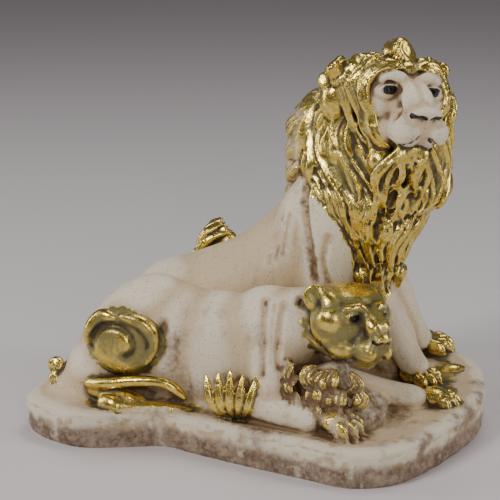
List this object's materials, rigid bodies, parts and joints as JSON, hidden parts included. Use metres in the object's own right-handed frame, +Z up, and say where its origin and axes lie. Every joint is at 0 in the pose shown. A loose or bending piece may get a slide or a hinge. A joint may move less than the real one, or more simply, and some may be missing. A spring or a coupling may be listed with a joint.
{
  "type": "lion couple statue",
  "caption": "Cast figure of a seated maned lion behind a lying lioness on an irregular rock base, ivory with gilded mane, head and paws.",
  "frame": {"origin": "on the flat underside, in the middle of the statue's box", "axes": "+Z up, +X the way the lions lie ahead, -Y the side that the lioness lies on"},
  "size_m": [0.3016, 0.1866, 0.2685],
  "materials": {
    "antique_ivory": "cast resin, ivory paint with a brown wash and worn gold leaf"
  },
  "bodies": {
    "root": {"lion_couple_statue": "antique_ivory"}
  },
  "joints": []
}
